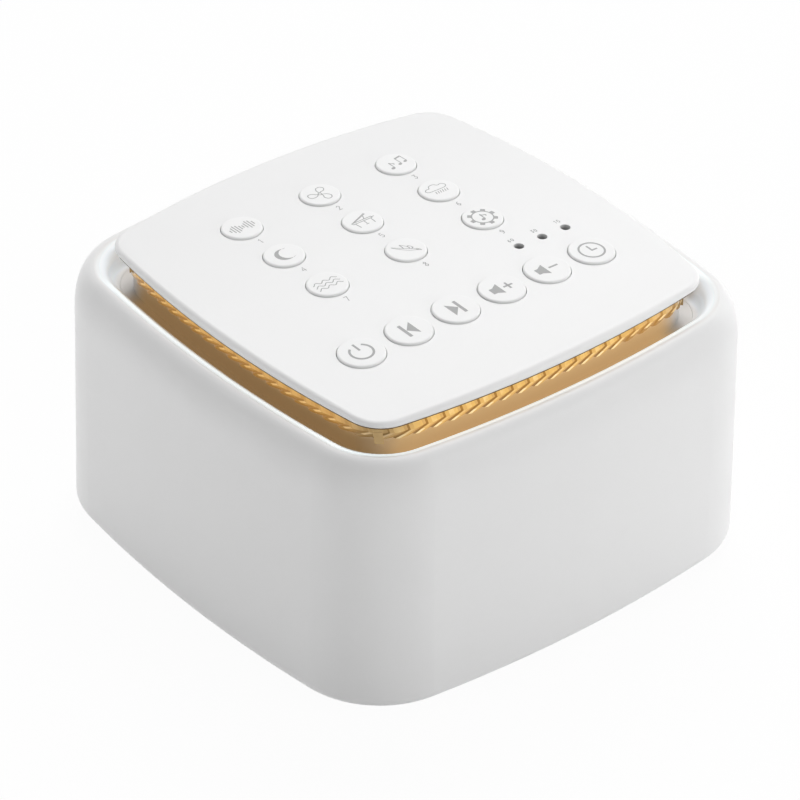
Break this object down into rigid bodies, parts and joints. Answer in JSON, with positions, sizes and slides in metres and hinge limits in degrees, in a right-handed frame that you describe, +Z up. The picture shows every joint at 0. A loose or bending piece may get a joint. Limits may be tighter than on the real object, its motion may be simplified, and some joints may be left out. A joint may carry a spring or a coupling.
{
  "type": "white noise sound machine",
  "caption": "Square bedside sound machine with a domed control panel of press buttons above a glowing ring, a rolled-rim housing and a speaker underneath.",
  "frame": {"origin": "middle of the footprint, on the surface that the feet stand on", "axes": "+Z up, +X to the listener's right, -Y towards the front, where the row of control buttons is"},
  "size_m": [0.1088, 0.1088, 0.0634],
  "materials": {
    "housing_white": "satin white moulded plastic",
    "panel_white": "smooth white moulded plastic",
    "button_white": "smooth white caps with grey printed symbols",
    "deck_white": "plain white moulded plastic",
    "ring_amber": "clear acrylic with slanted facets, lit amber from below",
    "base_grey": "fine matt white moulded plastic",
    "foot_rubber": "matt rubber",
    "screw_steel": "zinc-plated steel",
    "board_green": "green solder mask on glass-epoxy board",
    "board_white": "white solder mask on glass-epoxy board",
    "lamp_amber": "small moulded lamps, lit amber",
    "light_grey": "translucent grey plastic",
    "switch_black": "black moulded plastic",
    "plunger_grey": "grey moulded plastic",
    "component_black": "moulded component packages",
    "ribbon_grey": "flexible ribbon insulation",
    "lead_black": "flexible lead insulation",
    "socket_steel": "drawn stainless steel",
    "tongue_black": "moulded contact carrier",
    "gasket_foam": "closed-cell foam",
    "frame_steel": "black coated pressed steel",
    "plate_steel": "zinc-plated steel",
    "magnet_grey": "plain ferrite",
    "surround_rubber": "thin rubber",
    "spider_fabric": "resin-treated cloth",
    "cone_paper": "pressed paper pulp",
    "coil_copper": "copper winding on its former"
  },
  "bodies": {
    "housing": {"outer_housing": "housing_white", "base_cover": "base_grey", "rubber_feet": "foot_rubber", "base_screws": "screw_steel", "inner_screws": "screw_steel", "light_deck": "deck_white", "light_ring": "ring_amber", "lamp_board": "board_white", "ring_lamps": "lamp_amber", "top_panel": "panel_white", "button_board": "board_green", "switch_bodies": "switch_black", "timer_lights": "light_grey", "main_board": "board_green", "board_components": "component_black", "panel_ribbon": "ribbon_grey", "speaker_lead": "lead_black", "power_socket_shell": "socket_steel", "power_socket_tongue": "tongue_black", "speaker_gasket": "gasket_foam", "speaker_frame": "frame_steel", "speaker_front_plate": "plate_steel", "speaker_magnet": "magnet_grey", "speaker_yoke": "plate_steel", "speaker_surround": "surround_rubber", "speaker_spider": "spider_fabric"},
    "speaker_diaphragm": {"speaker_cone": "cone_paper", "speaker_dust_cap": "cone_paper", "speaker_voice_coil": "coil_copper"},
    "key_white_noise": {"button_white_noise": "button_white", "plunger_white_noise": "plunger_grey"},
    "key_fan": {"button_fan": "button_white", "plunger_fan": "plunger_grey"},
    "key_melody": {"button_melody": "button_white", "plunger_melody": "plunger_grey"},
    "key_moon": {"button_moon": "button_white", "plunger_moon": "plunger_grey"},
    "key_piano": {"button_piano": "button_white", "plunger_piano": "plunger_grey"},
    "key_rain": {"button_rain": "button_white", "plunger_rain": "plunger_grey"},
    "key_waves": {"button_waves": "button_white", "plunger_waves": "plunger_grey"},
    "key_birds": {"button_birds": "button_white", "plunger_birds": "plunger_grey"},
    "key_custom": {"button_custom": "button_white", "plunger_custom": "plunger_grey"},
    "key_power": {"button_power": "button_white", "plunger_power": "plunger_grey"},
    "key_previous": {"button_previous": "button_white", "plunger_previous": "plunger_grey"},
    "key_next": {"button_next": "button_white", "plunger_next": "plunger_grey"},
    "key_volume_up": {"button_volume_up": "button_white", "plunger_volume_up": "plunger_grey"},
    "key_volume_down": {"button_volume_down": "button_white", "plunger_volume_down": "plunger_grey"},
    "key_timer": {"button_timer": "button_white", "plunger_timer": "plunger_grey"}
  },
  "joints": [
    {"name": "speaker_excursion", "type": "slide", "parent": "housing", "child": "speaker_diaphragm", "axis": [0, 0, 1], "range_m": [-0.001, 0.001], "stiffness_N_per_m": 2000, "deforming": ["speaker_surround", "speaker_spider"]},
    {"name": "press_white_noise", "type": "slide", "parent": "housing", "child": "key_white_noise", "axis": [0, 0, -1], "range_m": [0, 0.0005], "stiffness_N_per_m": 1500, "springref_m": -0.0003},
    {"name": "press_fan", "type": "slide", "parent": "housing", "child": "key_fan", "axis": [0, 0, -1], "range_m": [0, 0.0005], "stiffness_N_per_m": 1500, "springref_m": -0.0003},
    {"name": "press_melody", "type": "slide", "parent": "housing", "child": "key_melody", "axis": [0, 0, -1], "range_m": [0, 0.0005], "stiffness_N_per_m": 1500, "springref_m": -0.0003},
    {"name": "press_moon", "type": "slide", "parent": "housing", "child": "key_moon", "axis": [0, 0, -1], "range_m": [0, 0.0005], "stiffness_N_per_m": 1500, "springref_m": -0.0003},
    {"name": "press_piano", "type": "slide", "parent": "housing", "child": "key_piano", "axis": [0, 0, -1], "range_m": [0, 0.0005], "stiffness_N_per_m": 1500, "springref_m": -0.0003},
    {"name": "press_rain", "type": "slide", "parent": "housing", "child": "key_rain", "axis": [0, 0, -1], "range_m": [0, 0.0005], "stiffness_N_per_m": 1500, "springref_m": -0.0003},
    {"name": "press_waves", "type": "slide", "parent": "housing", "child": "key_waves", "axis": [0, 0, -1], "range_m": [0, 0.0005], "stiffness_N_per_m": 1500, "springref_m": -0.0003},
    {"name": "press_birds", "type": "slide", "parent": "housing", "child": "key_birds", "axis": [0, 0, -1], "range_m": [0, 0.0005], "stiffness_N_per_m": 1500, "springref_m": -0.0003},
    {"name": "press_custom", "type": "slide", "parent": "housing", "child": "key_custom", "axis": [0, 0, -1], "range_m": [0, 0.0005], "stiffness_N_per_m": 1500, "springref_m": -0.0003},
    {"name": "press_power", "type": "slide", "parent": "housing", "child": "key_power", "axis": [0, 0, -1], "range_m": [0, 0.0005], "stiffness_N_per_m": 1500, "springref_m": -0.0003},
    {"name": "press_previous", "type": "slide", "parent": "housing", "child": "key_previous", "axis": [0, 0, -1], "range_m": [0, 0.0005], "stiffness_N_per_m": 1500, "springref_m": -0.0003},
    {"name": "press_next", "type": "slide", "parent": "housing", "child": "key_next", "axis": [0, 0, -1], "range_m": [0, 0.0005], "stiffness_N_per_m": 1500, "springref_m": -0.0003},
    {"name": "press_volume_up", "type": "slide", "parent": "housing", "child": "key_volume_up", "axis": [0, 0, -1], "range_m": [0, 0.0005], "stiffness_N_per_m": 1500, "springref_m": -0.0003},
    {"name": "press_volume_down", "type": "slide", "parent": "housing", "child": "key_volume_down", "axis": [0, 0, -1], "range_m": [0, 0.0005], "stiffness_N_per_m": 1500, "springref_m": -0.0003},
    {"name": "press_timer", "type": "slide", "parent": "housing", "child": "key_timer", "axis": [0, 0, -1], "range_m": [0, 0.0005], "stiffness_N_per_m": 1500, "springref_m": -0.0003}
  ]
}
